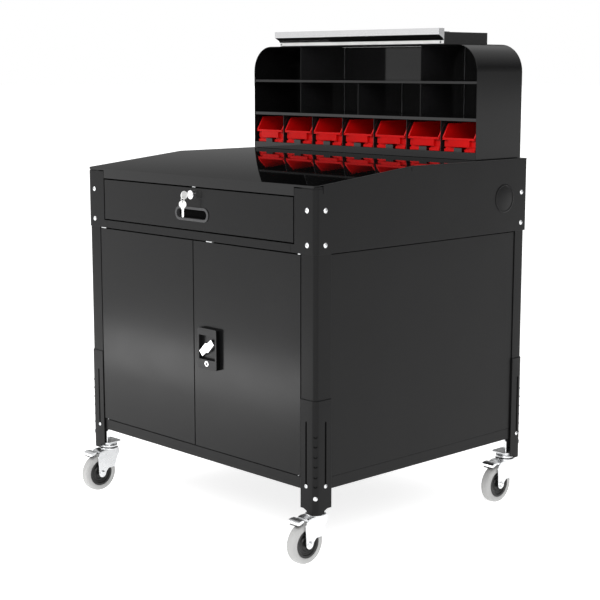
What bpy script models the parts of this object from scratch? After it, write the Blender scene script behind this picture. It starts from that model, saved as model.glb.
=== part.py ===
"""Mobile shop desk: a lockable cabinet on four adjustable legs with braked swivel casters,
a sloped desk with a drawer, and a rear riser with shelves, seven hopper bins and a work light.

Metres, +Z up. The front faces -Y and the casters stand on z = 0.
"""

import math

import bmesh
import bpy
from mathutils import Matrix, Vector

# ---------------------------------------------------------------- driving dimensions
WIDTH = 0.876            # outside of the corner posts, left to right
DEPTH = 0.762            # outside of the corner posts, front to back
FIT = 0.0003             # gap between pieces that rest against each other

SHEET = 0.0015           # desk sheet
PANEL = 0.0012           # cabinet, drawer and riser sheet
POST_SHEET = 0.002       # posts and leg extensions
POST_RADIUS = 0.010      # outer bend of a corner post
POST_FRONT = 0.0478      # width of a post's front or rear flange
POST_SIDE = 0.050        # width of a front post's side flange
POST_SIDE_REAR = 0.0395  # width of a rear post's side flange

Z_RAIL_LOW = 0.174       # lower edge of the cabinet's bottom rail
Z_FLOOR = 0.202          # top of the cabinet floor
Z_CASE = 0.730           # lower edge of the desk case
Z_DRAWER_LOW = 0.750     # top of the rail under the drawer
Z_DRAWER_TOP = 0.861     # lower edge of the lip over the drawer
Z_DESK_FRONT = 0.8867    # front edge of the work surface
Z_DECK = 0.918           # flat rear part of the work surface
CREASE = 0.318           # depth at which the slope meets the flat deck

DRAWER_MARGIN = 0.0695   # drawer opening to the side of the cabinet
RAIL_MARGIN = 0.0815     # end of the rail under the drawer
SEAM = 0.0034            # visible gap round the drawer front

DOOR_MARGIN = 0.0508     # door edge to the side of the cabinet
DOOR_DEEP = 0.018
DOOR_LOW = 0.2050
DOOR_TOP = 0.7267
DOOR_SPLIT = 0.0017      # half the gap between the doors
HINGE_IN = 0.0605        # hinge line to the side of the cabinet
HINGE_DEEP = 0.005       # hinge line behind the door face

LATCH_X = 0.064          # centre of the latch, right of the door split
LATCH_Z = 0.463
LATCH_WIDE = 0.072
LATCH_TALL = 0.102
LATCH_PROUD = 0.012
HANDLE_Z = 0.466
HANDLE_TILT = math.radians(37.0)

RISER_WIDE = 0.838
RISER_DEEP = 0.181
RISER_FRONT = 0.580      # riser front behind the cabinet front
RISER_TOP = 1.209
RISER_RADIUS = 0.070
SHELF_UPPER = 1.1155
SHELF_LOWER = 1.0230
BIN_FLOOR = 0.9365
TAB_TOP = 0.9470
BIN_COUNT = 7
BIN_WIDE = 0.108
BIN_DEEP = 0.140
BIN_TOP = 1.008
BIN_LIP = 0.972          # top of the low front wall
BIN_WALL = 0.0018

LEG_LOW = 0.130          # lower edge of a leg extension's flanges
LEG_TONGUE = 0.118       # lower edge of its corner
LEG_TOP = 0.391
LEG_FLANGE = 0.0508
SLOT_HALF = 0.0026
SLOT_LOW = 0.1845
SLOT_TOP = 0.340

CASTER_IN = 0.027        # swivel axis to both outer faces of the cabinet
TRAIL = 0.036            # axle behind the swivel axis
WHEEL_RADIUS = 0.0495
WHEEL_WIDE = 0.026

# Leading edge of the wheels and rear face of the legs, which set the middle of the bounding box
FRONT_REACH = CASTER_IN - TRAIL - WHEEL_RADIUS
REAR_REACH = DEPTH + FIT + POST_SHEET
FRONT = -(FRONT_REACH + REAR_REACH) / 2
REAR = FRONT + DEPTH
RIGHT = WIDTH / 2
LEFT = -RIGHT
PROUD = FIT + SHEET      # how far the desk case stands outside the posts
R_FRONT = FRONT + RISER_FRONT
R_REAR = R_FRONT + RISER_DEEP

for old in list(bpy.data.objects):
    bpy.data.objects.remove(old, do_unlink=True)

parts = bpy.data.collections.new("tool_cart")
cutters = bpy.data.collections.new("cutters")
bpy.context.scene.collection.children.link(parts)
bpy.context.scene.collection.children.link(cutters)


# ---------------------------------------------------------------- materials
def finish(name, colour, roughness, metallic):
    """One Principled material."""
    mat = bpy.data.materials.new(name)
    mat.use_nodes = True
    shader = mat.node_tree.nodes["Principled BSDF"]
    shader.inputs["Base Color"].default_value = (*colour, 1.0)
    shader.inputs["Roughness"].default_value = roughness
    shader.inputs["Metallic"].default_value = metallic
    return mat


BLACK = finish("black_powder_coat", (0.03, 0.03, 0.032), 0.35, 0.0)
ZINC = finish("zinc_plate", (0.75, 0.76, 0.78), 0.28, 1.0)
CHROME = finish("chrome", (0.85, 0.85, 0.86), 0.12, 1.0)
ALUMINIUM = finish("aluminium", (0.78, 0.79, 0.80), 0.30, 1.0)
RED = finish("red_plastic", (0.62, 0.015, 0.012), 0.38, 0.0)
TYRE = finish("grey_tyre", (0.52, 0.52, 0.51), 0.6, 0.0)
BLACK_PLASTIC = finish("black_plastic", (0.02, 0.02, 0.02), 0.4, 0.0)
LENS = finish("white_lens", (0.9, 0.9, 0.88), 0.3, 0.0)


# ---------------------------------------------------------------- building blocks
def place(mesh, name, mat=None):
    """Puts a mesh in the scene, as a part if it has a material and as a cutter if not."""
    obj = bpy.data.objects.new(name, mesh)
    if mat is None:
        cutters.objects.link(obj)
        obj.hide_render = True
        obj.display_type = "WIRE"
    else:
        mesh.materials.append(mat)
        parts.objects.link(obj)
    return obj


def block(name, low, high, mat=None):
    """Box between two corners."""
    bm = bmesh.new()
    bmesh.ops.create_cube(bm, size=1.0)
    low, high = Vector(low), Vector(high)
    bmesh.ops.scale(bm, vec=high - low, verts=bm.verts)
    bmesh.ops.translate(bm, vec=(low + high) / 2, verts=bm.verts)
    mesh = bpy.data.meshes.new(name)
    bm.to_mesh(mesh)
    bm.free()
    return place(mesh, name, mat)


def rod(name, radius, start, end, mat=None, segments=16, end_radius=None):
    """Cylinder or cone from one point to another."""
    start, end = Vector(start), Vector(end)
    along = end - start
    bm = bmesh.new()
    bmesh.ops.create_cone(
        bm, cap_ends=True, segments=segments, radius1=radius,
        radius2=radius if end_radius is None else end_radius, depth=along.length,
    )
    turn = along.to_track_quat("Z", "Y").to_matrix().to_4x4()
    bm.transform(Matrix.Translation((start + end) / 2) @ turn)
    mesh = bpy.data.meshes.new(name)
    bm.to_mesh(mesh)
    bm.free()
    return place(mesh, name, mat)


def plate(name, outlines, plane, low, high, mat=None):
    """Flat outline, with any holes as further outlines, extruded between low and high.

    plane names the two world axes of the outline: XY, XZ or YZ.
    """
    curve = bpy.data.curves.new(name + "_outline", "CURVE")
    curve.dimensions = "2D"
    curve.fill_mode = "BOTH"
    curve.extrude = (high - low) / 2
    for points in outlines:
        spline = curve.splines.new("POLY")
        spline.points.add(len(points) - 1)
        for slot, (a, b) in zip(spline.points, points):
            slot.co = (a, b, 0.0, 1.0)
        spline.use_cyclic_u = True
    holder = bpy.data.objects.new(name + "_outline", curve)
    mesh = bpy.data.meshes.new_from_object(holder)
    bpy.data.objects.remove(holder)
    middle = (low + high) / 2
    turn = {
        "XY": Matrix(((1, 0, 0, 0), (0, 1, 0, 0), (0, 0, 1, middle), (0, 0, 0, 1))),
        "XZ": Matrix(((1, 0, 0, 0), (0, 0, 1, middle), (0, 1, 0, 0), (0, 0, 0, 1))),
        "YZ": Matrix(((0, 0, 1, middle), (1, 0, 0, 0), (0, 1, 0, 0), (0, 0, 0, 1))),
    }[plane]
    bm = bmesh.new()
    bm.from_mesh(mesh)
    bmesh.ops.remove_doubles(bm, verts=bm.verts, dist=1e-6)
    bm.transform(turn)
    bmesh.ops.recalc_face_normals(bm, faces=bm.faces)
    if bm.calc_volume(signed=True) < 0:
        bmesh.ops.reverse_faces(bm, faces=bm.faces)
    bm.to_mesh(mesh)
    bm.free()
    mesh.name = name
    return place(mesh, name, mat)


def turned(name, profile, centre, axis, mat, steps=32):
    """Solid of revolution. profile holds (radius, height) down the outer side and back."""
    mesh = bpy.data.meshes.new(name)
    bm = bmesh.new()
    ring = [bm.verts.new((radius, 0.0, height)) for radius, height in profile]
    for a, b in zip(ring, ring[1:] + ring[:1]):
        bm.edges.new((a, b))
    bm.to_mesh(mesh)
    bm.free()
    obj = place(mesh, name, mat)
    obj.location = centre
    obj.rotation_euler = Vector(axis).to_track_quat("Z", "Y").to_euler()
    screw = obj.modifiers.new("turn", "SCREW")
    screw.steps = steps
    screw.render_steps = steps
    screw.use_merge_vertices = True
    screw.merge_threshold = 0.0001
    screw.use_normal_calculate = True
    return obj


def boolean(target, tool, operation):
    """Adds one exact Boolean to a part. The tool moves to the cutters' collection."""
    step = target.modifiers.new(operation.lower(), "BOOLEAN")
    step.operation = operation
    step.solver = "EXACT"
    step.object = tool
    tool.hide_render = True
    tool.display_type = "WIRE"


def cut(target, *tools):
    for tool in tools:
        boolean(target, tool, "DIFFERENCE")
    return target


def join(target, *tools):
    for tool in tools:
        boolean(target, tool, "UNION")
    return target


def pivot(obj, point):
    """Moves a part's origin to its joint axis without moving its shape."""
    point = Vector(point)
    obj.data.transform(Matrix.Translation(obj.location - point))
    obj.location = point
    return obj


def arc(centre, radius, start, end, steps):
    """Points on an arc, angles in degrees."""
    found = []
    for i in range(steps + 1):
        angle = math.radians(start + (end - start) * i / steps)
        found.append((centre[0] + radius * math.cos(angle), centre[1] + radius * math.sin(angle)))
    return found


def rounded_box(low, high, radius, steps=4):
    """Rectangle with rounded corners, as an outline."""
    (a0, b0), (a1, b1) = low, high
    return (
        arc((a1 - radius, b0 + radius), radius, -90, 0, steps)
        + arc((a1 - radius, b1 - radius), radius, 0, 90, steps)
        + arc((a0 + radius, b1 - radius), radius, 90, 180, steps)
        + arc((a0 + radius, b0 + radius), radius, 180, 270, steps)
    )


def corner_point(side, end, inward_x, inward_y):
    """World x, y of a point measured inward from a corner. side is -1 left, end is -1 front."""
    x = side * (RIGHT - inward_x)
    y = FRONT + inward_y if end < 0 else REAR - inward_y
    return x, y


def angle_outline(side, end, along_x, along_y, outset, thick, radius):
    """Plan outline of an L-shaped angle with a rounded bend, standing outset outside the corner."""
    outer = arc((radius - outset, radius - outset), radius, 180, 270, 4)
    inner = arc((radius - outset, radius - outset), radius - thick, 270, 180, 4)
    points = [(-outset, along_y)] + outer + [(along_x, -outset), (along_x, thick - outset)]
    points += inner + [(thick - outset, along_y)]
    return [corner_point(side, end, u, v) for u, v in points]


CORNERS = {"fl": (-1, -1), "fr": (1, -1), "bl": (-1, 1), "br": (1, 1)}


# ---------------------------------------------------------------- corner posts
for corner, (side, end) in CORNERS.items():
    side_flange = POST_SIDE if end < 0 else POST_SIDE_REAR
    outline = angle_outline(side, end, POST_FRONT, side_flange, 0.0, POST_SHEET, POST_RADIUS)
    plate("post_" + corner, [outline], "XY", Z_RAIL_LOW, Z_DESK_FRONT - SHEET - 2 * FIT, BLACK)


# ---------------------------------------------------------------- leg extensions
def leg(corner, side, end):
    """Slotted angle outside a post, with chamfered feet round a longer corner."""
    side_flange = LEG_FLANGE if end < 0 else POST_SIDE_REAR + FIT
    outset = FIT + POST_SHEET
    outline = angle_outline(
        side, end, POST_FRONT + FIT, side_flange, outset, POST_SHEET, POST_RADIUS + outset
    )
    body = plate("leg_" + corner, [outline], "XY", LEG_TONGUE, LEG_TOP, BLACK)
    tongue = 0.028
    chamfer = 0.010
    for plane in ("XZ", "YZ"):
        wide = POST_FRONT if plane == "XZ" else side_flange
        foot = [
            (tongue, LEG_TONGUE - 0.01), (tongue, LEG_LOW - 0.004), (tongue + chamfer, LEG_LOW),
            (wide + 0.01, LEG_LOW), (wide + 0.01, LEG_TONGUE - 0.01),
        ]
        if plane == "XZ":
            middle = 0.029
        else:
            middle = 0.031 if end < 0 else 0.0165
        slot = arc((middle, SLOT_TOP - SLOT_HALF), SLOT_HALF, 0, 180, 6)
        slot += arc((middle, SLOT_LOW), SLOT_HALF, 180, 360, 6)
        for label, shape in (("foot", foot), ("slot", slot)):
            spots = []
            for inward, z in shape:
                x, y = corner_point(side, end, inward, inward)
                spots.append((x if plane == "XZ" else y, z))
            if plane == "XZ":
                face = FRONT if end < 0 else REAR
            else:
                face = side * RIGHT
            tool = plate(f"cut_{label}_{plane}_{corner}", [spots], plane, face - 0.005, face + 0.005)
            cut(body, tool)
    return pivot(body, (*corner_point(side, end, 0.0, 0.0), LEG_TOP))


for corner, (side, end) in CORNERS.items():
    leg(corner, side, end)


# ---------------------------------------------------------------- casters
def caster(corner, side, end):
    """Swivel caster: mounting plate, fork with its axle, wheel and brake pedal."""
    x, y = corner_point(side, end, CASTER_IN, CASTER_IN)
    axle_y = y - TRAIL
    axle_z = WHEEL_RADIUS
    plate_z = LEG_LOW + 0.001

    # Mounting plate with its bearing cup, king pin and the upright tab that bolts to the leg
    half = CASTER_IN - 0.001
    square = rounded_box((x - half, y - half), (x + half, y + half), 0.009, 3)
    top = plate("caster_plate_" + corner, [square], "XY", plate_z, plate_z + 0.003, ZINC)
    cup = rod("cup_" + corner, 0.0235, (x, y, 0.1245), (x, y, plate_z + 0.001), segments=24,
              end_radius=0.019)
    pin = rod("king_pin_" + corner, 0.0055, (x, y, 0.1085), (x, y, plate_z + 0.001), segments=12)
    lean = side * -1.0 if end < 0 else side * 1.0
    reach = 0.018
    across = Vector((reach, lean * reach * -1.0, 0.0))
    normal = Vector((across.y, -across.x, 0.0)).normalized() * 0.0012
    tab_low = plate_z + 0.002
    corners = [Vector((x, y, 0.0)) + s * across + t * normal for s, t in
               ((-1, -1), (1, -1), (1, 1), (-1, 1))]
    tab = plate("tab_" + corner, [[(c.x, c.y) for c in corners]], "XY", tab_low, tab_low + 0.032)
    join(top, cup, pin, tab)

    # Fork: a yoke round the wheel under a round crown
    outer = 0.0195
    inner = 0.0170
    tip = [(axle_y + p, axle_z + q) for p, q in arc((0.0, 0.0), 0.0115, 160, 350, 8)]
    yoke = tip + [
        (y - 0.010, 0.066), (y + 0.006, 0.080), (y + 0.0225, 0.102), (y + 0.0225, 0.1125),
        (y - 0.030, 0.1125), (y - 0.0475, 0.1045), (y - 0.0500, 0.088),
    ]
    fork = plate("caster_fork_" + corner, [yoke], "YZ", x - outer, x + outer, ZINC)
    well = block("well_" + corner, (x - inner, y - 0.09, 0.0), (x + inner, y + 0.05, 0.1105))
    crown = rod("crown_" + corner, 0.0245, (x, y, 0.1115), (x, y, 0.1155), segments=24)
    race = rod("race_" + corner, 0.0205, (x, y, 0.1150), (x, y, 0.1240), segments=24,
               end_radius=0.0235)
    hole = rod("pin_hole_" + corner, 0.0060, (x, y, 0.10), (x, y, 0.13), segments=12)
    axle = rod("axle_" + corner, 0.0040, (x - 0.022, axle_y, axle_z), (x + 0.022, axle_y, axle_z),
               segments=12)
    head = rod("axle_head_" + corner, 0.0070, (x + outer - 0.0005, axle_y, axle_z),
               (x + outer + 0.0055, axle_y, axle_z), segments=6)
    nut = rod("axle_nut_" + corner, 0.0070, (x - outer - 0.0055, axle_y, axle_z),
              (x - outer + 0.0005, axle_y, axle_z), segments=6)
    cut(fork, well)
    join(fork, crown, race, axle, head, nut)
    cut(fork, hole)
    pivot(fork, (x, y, 0.1115))

    # Wheel: rounded tread, recessed hub faces, running bore
    face = WHEEL_WIDE / 2
    bore = 0.0044
    profile = [
        (bore, 0.0155), (0.010, 0.0155), (0.012, 0.008), (0.030, 0.007), (0.033, face),
        (0.043, face), (0.048, face - 0.004), (WHEEL_RADIUS, face - 0.009),
        (WHEEL_RADIUS, 0.009 - face), (0.048, 0.004 - face), (0.043, -face), (0.033, -face),
        (0.030, -0.007), (0.012, -0.008), (0.010, -0.0155), (bore, -0.0155),
    ]
    turned("caster_wheel_" + corner, profile, (x, axle_y, axle_z), (1, 0, 0), TYRE, steps=28)

    # Brake pedal: a tread with its shoe over the front of the wheel, hinged on the yoke
    tread = [
        (y - 0.0545, 0.1085), (y - 0.0510, 0.1125), (y - 0.0600, 0.1125), (y - 0.0710, 0.1090),
        (y - 0.0728, 0.1010), (y - 0.0700, 0.0985), (y - 0.0672, 0.0968), (y - 0.0595, 0.1022),
    ]
    pedal = plate("caster_pedal_" + corner, [tread], "YZ", x - 0.0185, x + 0.0185, ZINC)
    pivot(pedal, (x, y - 0.0530, 0.1105))
    return pedal


for corner, (side, end) in CORNERS.items():
    caster(corner, side, end)


# ---------------------------------------------------------------- desk case, top and rail
def roof(drop, front_y, rear_y):
    """Slope and deck line of the work surface, lowered by drop."""
    slope = (Z_DECK - Z_DESK_FRONT) / (CREASE + PROUD)
    start = Z_DESK_FRONT + slope * (front_y - (FRONT - PROUD))
    return [(front_y, start - drop), (FRONT + CREASE, Z_DECK - drop), (rear_y, Z_DECK - drop)]


def case_outline():
    """Plan of the sheet that wraps the sides, the back and both front corners."""
    left_half = []
    out_x, out_y = -RIGHT - PROUD, FRONT - PROUD
    back_y = REAR + PROUD
    radius = POST_RADIUS + PROUD
    bend = 0.004
    left_half.append((LEFT + RAIL_MARGIN, out_y))
    left_half += arc((out_x + radius, out_y + radius), radius, 270, 180, 4)
    left_half += arc((out_x + bend, back_y - bend), bend, 180, 90, 3)
    outer = left_half + [(-px, py) for px, py in reversed(left_half)]
    inner_half = [(LEFT + RAIL_MARGIN, out_y + SHEET)]
    inner_half += arc((out_x + radius, out_y + radius), radius - SHEET, 270, 180, 4)
    inner_half += arc((out_x + bend, back_y - bend), bend - SHEET, 180, 90, 3)
    inner = inner_half + [(-px, py) for px, py in reversed(inner_half)]
    return outer + list(reversed(inner))


case = plate("desk_case", [case_outline()], "XY", Z_CASE, Z_DECK + 0.010, BLACK)
above = roof(SHEET + FIT, FRONT - 0.02, REAR + 0.02)
above += [(REAR + 0.02, Z_DECK + 0.05), (FRONT - 0.02, Z_DECK + 0.05)]
cut(case, plate("cut_roof", [above], "YZ", LEFT - 0.02, RIGHT + 0.02))
CORNER_TOP = 0.8790
NOTCH_AT = 0.021
cut(case, block("cut_corner_tops", (LEFT - 0.02, FRONT - 0.02, CORNER_TOP),
                (RIGHT + 0.02, FRONT + NOTCH_AT, Z_DECK)))
cut(case, block("cut_reliefs", (LEFT - 0.02, FRONT + NOTCH_AT - 0.0005, CORNER_TOP - 0.010),
                (RIGHT + 0.02, FRONT + NOTCH_AT + 0.0012, Z_DECK)))
cut(case, block("cut_crease_reliefs", (LEFT - 0.02, FRONT + CREASE - 0.0007, Z_DECK - 0.012),
                (RIGHT + 0.02, FRONT + CREASE + 0.0007, Z_DECK)))
cut(case, block("cut_drawer_way", (LEFT + DRAWER_MARGIN, FRONT - 0.02, Z_DRAWER_LOW),
                (RIGHT - DRAWER_MARGIN, FRONT + 0.02, Z_DECK)))

under = roof(SHEET, FRONT - PROUD + SHEET, REAR + PROUD)
skin = [(FRONT - PROUD, Z_DRAWER_TOP)] + roof(0.0, FRONT - PROUD, REAR + PROUD)
skin += list(reversed(under)) + [(FRONT - PROUD + SHEET, Z_DRAWER_TOP)]
desk_top = plate("desk_top", [skin], "YZ", LEFT - PROUD, RIGHT + PROUD, BLACK)
SHORT_LIP = Z_DESK_FRONT - 0.0050
for side in (-1, 1):
    edge = sorted((side * (RIGHT - DRAWER_MARGIN - 0.001), side * (RIGHT + 0.02)))
    tool = block(f"cut_lip_{side}", (edge[0], FRONT - 0.02, Z_CASE),
                 (edge[1], FRONT - PROUD + SHEET + FIT, SHORT_LIP))
    cut(desk_top, tool)
    waste = arc((POST_RADIUS, POST_RADIUS), POST_RADIUS + PROUD, 180, 270, 4)
    waste += [(POST_RADIUS, -0.01), (-0.01, -0.01), (-0.01, POST_RADIUS)]
    outline = [corner_point(side, -1, u, v) for u, v in waste]
    cut(desk_top, plate(f"cut_corner_{side}", [outline], "XY", Z_CASE, Z_DECK + 0.01))

# Rail under the drawer: a channel closing the front of the case
rail_l, rail_r = LEFT + RAIL_MARGIN + FIT, RIGHT - RAIL_MARGIN - FIT
channel = [
    (FRONT - PROUD, Z_CASE), (FRONT - PROUD, Z_DRAWER_LOW), (FRONT + 0.030, Z_DRAWER_LOW),
    (FRONT + 0.030, Z_DRAWER_LOW - PANEL), (FRONT - PROUD + PANEL, Z_DRAWER_LOW - PANEL),
    (FRONT - PROUD + PANEL, Z_CASE + PANEL), (FRONT + 0.030, Z_CASE + PANEL),
    (FRONT + 0.030, Z_CASE),
]
plate("desk_rail", [channel], "YZ", rail_l, rail_r, BLACK)

# ---------------------------------------------------------------- cabinet panels
inset = POST_SHEET + 0.0005
bend_clear = POST_RADIUS
panel_low, panel_high = Z_FLOOR + FIT, Z_CASE - 0.0025
for label, side in (("l", -1), ("r", 1)):
    wall = sorted((side * (RIGHT - inset), side * (RIGHT - inset - PANEL)))
    block("cabinet_side_" + label, (wall[0], FRONT + bend_clear, panel_low),
          (wall[1], REAR - bend_clear, panel_high), BLACK)
block("cabinet_back", (LEFT + bend_clear, REAR - inset - PANEL, panel_low),
      (RIGHT - bend_clear, REAR - inset, panel_high), BLACK)


def floor_outline(grow):
    """Plan of the floor pan, whose corners follow the bends of the posts."""
    low = (LEFT + inset + grow, FRONT + inset + grow)
    high = (RIGHT - inset - grow, REAR - inset - grow)
    return rounded_box(low, high, POST_RADIUS - inset - grow, 4)


floor = plate("cabinet_floor", [floor_outline(0.0)], "XY", Z_RAIL_LOW, Z_FLOOR, BLACK)
cut(floor, plate("cut_floor", [floor_outline(PANEL)], "XY", Z_RAIL_LOW - 0.01, Z_FLOOR - PANEL))


# ---------------------------------------------------------------- doors
def door(label, side):
    """Folded door pan, hinged near its outer edge."""
    near = side * DOOR_SPLIT
    far = side * (RIGHT - DOOR_MARGIN)
    x0, x1 = sorted((near, far))
    pan = block("door_" + label, (x0, FRONT, DOOR_LOW), (x1, FRONT + DOOR_DEEP, DOOR_TOP), BLACK)
    tray = block("cut_door_" + label, (x0 + PANEL, FRONT + PANEL, DOOR_LOW + PANEL),
                 (x1 - PANEL, FRONT + 0.05, DOOR_TOP - PANEL))
    cut(pan, tray)
    return pivot(pan, (side * (RIGHT - HINGE_IN), FRONT + HINGE_DEEP, DOOR_LOW))


door("l", -1)
right_door = door("r", 1)

# Latch: raised tray, wing handle on a spindle, and the rods it draws in
tray_low = (LATCH_X - LATCH_WIDE / 2, LATCH_Z - LATCH_TALL / 2)
tray_high = (LATCH_X + LATCH_WIDE / 2, LATCH_Z + LATCH_TALL / 2)
tray = plate("latch_housing", [rounded_box(tray_low, tray_high, 0.004, 3)], "XZ",
             FRONT - LATCH_PROUD, FRONT - FIT, BLACK_PLASTIC)
recess = block("cut_latch_recess", (LATCH_X - 0.0302, FRONT - 0.02, HANDLE_Z - 0.0305),
               (LATCH_X + 0.0302, FRONT - 0.0015, HANDLE_Z + 0.0305))
spindle_hole = rod("cut_latch_spindle", 0.0065, (LATCH_X, FRONT - 0.02, HANDLE_Z),
                   (LATCH_X, FRONT + 0.02, HANDLE_Z))
key_hole = rod("cut_latch_key", 0.0076, (LATCH_X, FRONT - 0.02, HANDLE_Z - 0.040),
               (LATCH_X, FRONT - 0.004, HANDLE_Z - 0.040), segments=20)
cut(tray, recess, spindle_hole, key_hole)
cut(right_door, spindle_hole)

wing = [
    (-0.0285, 0.0082), (0.0030, 0.0125), (0.0080, 0.0083), (0.0270, 0.0083),
    (0.0285, -0.0082), (-0.0030, -0.0125), (-0.0080, -0.0083), (-0.0270, -0.0083),
]
cos_t, sin_t = math.cos(HANDLE_TILT), math.sin(HANDLE_TILT)
turned_wing = [(LATCH_X + u * cos_t - v * sin_t, HANDLE_Z + u * sin_t + v * cos_t) for u, v in wing]
handle = plate("latch_handle", [turned_wing], "XZ", FRONT - 0.0130, FRONT - 0.0040, CHROME)
spindle = rod("spindle", 0.0060, (LATCH_X, FRONT - 0.0060, HANDLE_Z),
              (LATCH_X, FRONT + 0.0150, HANDLE_Z))
disc = rod("disc", 0.0150, (LATCH_X, FRONT + 0.0020, HANDLE_Z), (LATCH_X, FRONT + 0.0045, HANDLE_Z))
join(handle, spindle, disc)
pivot(handle, (LATCH_X, FRONT, HANDLE_Z))

rod_y = FRONT + 0.0100
rod_x = LATCH_X
for label, ends in (("up", (HANDLE_Z + 0.022, DOOR_TOP + 0.0015)),
                    ("down", (HANDLE_Z - 0.022, DOOR_LOW - 0.0015))):
    rod("latch_rod_" + label, 0.0030, (rod_x, rod_y, ends[0]), (rod_x, rod_y, ends[1]), ZINC,
        segments=12)
    rod_hole = rod("cut_rod_" + label, 0.0034, (rod_x, rod_y, ends[0]),
                   (rod_x, rod_y, ends[1] + math.copysign(0.02, ends[1] - ends[0])), segments=12)
    cut(right_door, rod_hole)


# ---------------------------------------------------------------- drawer
front_low = (LEFT + DRAWER_MARGIN + SEAM, Z_DRAWER_LOW + SEAM)
front_high = (RIGHT - DRAWER_MARGIN - SEAM, Z_DRAWER_TOP - SEAM)
FRONT_DEEP = 0.014
drawer_front = block("drawer_front", (front_low[0], FRONT - PROUD, front_low[1]),
                     (front_high[0], FRONT - PROUD + FRONT_DEEP, front_high[1]), BLACK)
hollow = block("cut_drawer_front", (front_low[0] + PANEL, FRONT - PROUD + PANEL, front_low[1] + PANEL),
               (front_high[0] - PANEL, FRONT + 0.05, front_high[1] - PANEL))
PULL_Z = 0.7925
PULL_HALF = (0.064, 0.0175)
pull_way = plate(
    "cut_pull", [rounded_box((-PULL_HALF[0] + 0.003, PULL_Z - PULL_HALF[1] + 0.003),
                             (PULL_HALF[0] - 0.003, PULL_Z + PULL_HALF[1] - 0.003), 0.0140, 5)],
    "XZ", FRONT - 0.03, FRONT + 0.03)
LOCK_Z = 0.8405
lock_way = rod("cut_lock", 0.0094, (0.0, FRONT - 0.03, LOCK_Z), (0.0, FRONT + 0.03, LOCK_Z))
cut(drawer_front, hollow, pull_way, lock_way)

BOX_FRONT = FRONT - PROUD + FRONT_DEEP + FIT
BOX_MARGIN = 0.0870
BOX_REAR = FRONT + 0.540
box_low = (LEFT + BOX_MARGIN, BOX_FRONT, 0.7570)
box_high = (RIGHT - BOX_MARGIN, BOX_REAR, 0.8480)
box = block("drawer_box", box_low, box_high, BLACK)
cut(box, block("cut_box", (box_low[0] + PANEL, box_low[1] + PANEL, box_low[2] + PANEL),
               (box_high[0] - PANEL, box_high[1] - PANEL, box_high[2] + 0.02)))

# Recessed pull: a cup behind a flat rim
rim = rounded_box((-PULL_HALF[0], PULL_Z - PULL_HALF[1]), (PULL_HALF[0], PULL_Z + PULL_HALF[1]),
                  0.0174, 6)
face_y = FRONT - PROUD
pull = plate("drawer_pull", [rim], "XZ", face_y - 0.0025, face_y - FIT, BLACK_PLASTIC)
cup_shape = rounded_box((-PULL_HALF[0] + 0.004, PULL_Z - PULL_HALF[1] + 0.004),
                        (PULL_HALF[0] - 0.004, PULL_Z + PULL_HALF[1] - 0.004), 0.0132, 5)
mouth = rounded_box((-PULL_HALF[0] + 0.0062, PULL_Z - PULL_HALF[1] + 0.0062),
                    (PULL_HALF[0] - 0.0062, PULL_Z + PULL_HALF[1] - 0.0062), 0.0110, 5)
join(pull, plate("pull_cup", [cup_shape], "XZ", face_y - 0.0020, face_y + 0.0125))
cut(pull, plate("cut_pull_cup", [mouth], "XZ", face_y - 0.02, face_y + 0.0110))

# Cam lock with its tongue, the key in it and the spare key on a ring
lock = rod("drawer_lock", 0.0112, (0.0, face_y - 0.0050, LOCK_Z), (0.0, face_y - FIT, LOCK_Z), CHROME,
           segments=24)
barrel = rod("lock_barrel", 0.0090, (0.0, face_y - 0.0030, LOCK_Z), (0.0, face_y + 0.0130, LOCK_Z))
keyway = block("cut_keyway", (-0.0011, face_y - 0.02, LOCK_Z - 0.0042),
               (0.0011, face_y + 0.0080, LOCK_Z + 0.0042))
join(lock, barrel)
cut(lock, keyway)
pivot(lock, (0.0, face_y, LOCK_Z))

BOW_Y = face_y - 0.0240
BOW = 0.0105


def key_outline(centre, tip, half_blade):
    """Round bow with a straight blade, in a Y-Z plane, blade pointing along +Y or -Z."""
    cy, cz = centre
    ty, tz = tip
    along = Vector((ty - cy, tz - cz)).normalized()
    angle = math.degrees(math.atan2(along.y, along.x))
    spread = math.degrees(math.asin(half_blade / BOW))
    points = arc(centre, BOW, angle + spread, angle + 360 - spread, 18)
    side = Vector((-along.y, along.x)) * half_blade
    tip_end = Vector(tip)
    shoulder = tip_end - along * half_blade
    for spot in (shoulder - side, tip_end, shoulder + side):
        points.append((spot.x, spot.y))
    return points


KEY_HALF = 0.0008
HOLE = 0.0024
hole_at = (BOW_Y - 0.0050, LOCK_Z - 0.0055)
plate("drawer_key",
      [key_outline((BOW_Y, LOCK_Z), (face_y + 0.0070, LOCK_Z), 0.0034), arc(hole_at, HOLE, 0, 345, 11)],
      "YZ", -KEY_HALF, KEY_HALF, CHROME)
pivot(bpy.data.objects["drawer_key"], (0.0, BOW_Y, LOCK_Z))

SPARE_Z = hole_at[1] - 0.0130
SPARE_TURN = math.radians(-50.0)
spare_at = (hole_at[0], SPARE_Z - 0.0070)
spare = plate("key_spare", [key_outline(spare_at, (hole_at[0], spare_at[1] - 0.0350), 0.0034)],
              "YZ", -KEY_HALF, KEY_HALF, CHROME)
turn_line = Matrix.Translation((0.0, hole_at[0], 0.0))
spare.data.transform(turn_line @ Matrix.Rotation(SPARE_TURN, 4, "Z") @ turn_line.inverted())
bpy.ops.mesh.primitive_torus_add(
    major_radius=0.0078, minor_radius=0.0007, major_segments=20, minor_segments=6,
    location=(0.0, hole_at[0], hole_at[1] - 0.0078), rotation=(math.pi / 2, 0.0, 0.0))
ring = bpy.context.object
ring.name = "key_ring"
for holder in list(ring.users_collection):
    holder.objects.unlink(ring)
cutters.objects.link(ring)
join(spare, ring)
pivot(spare, (0.0, *hole_at))

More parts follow.
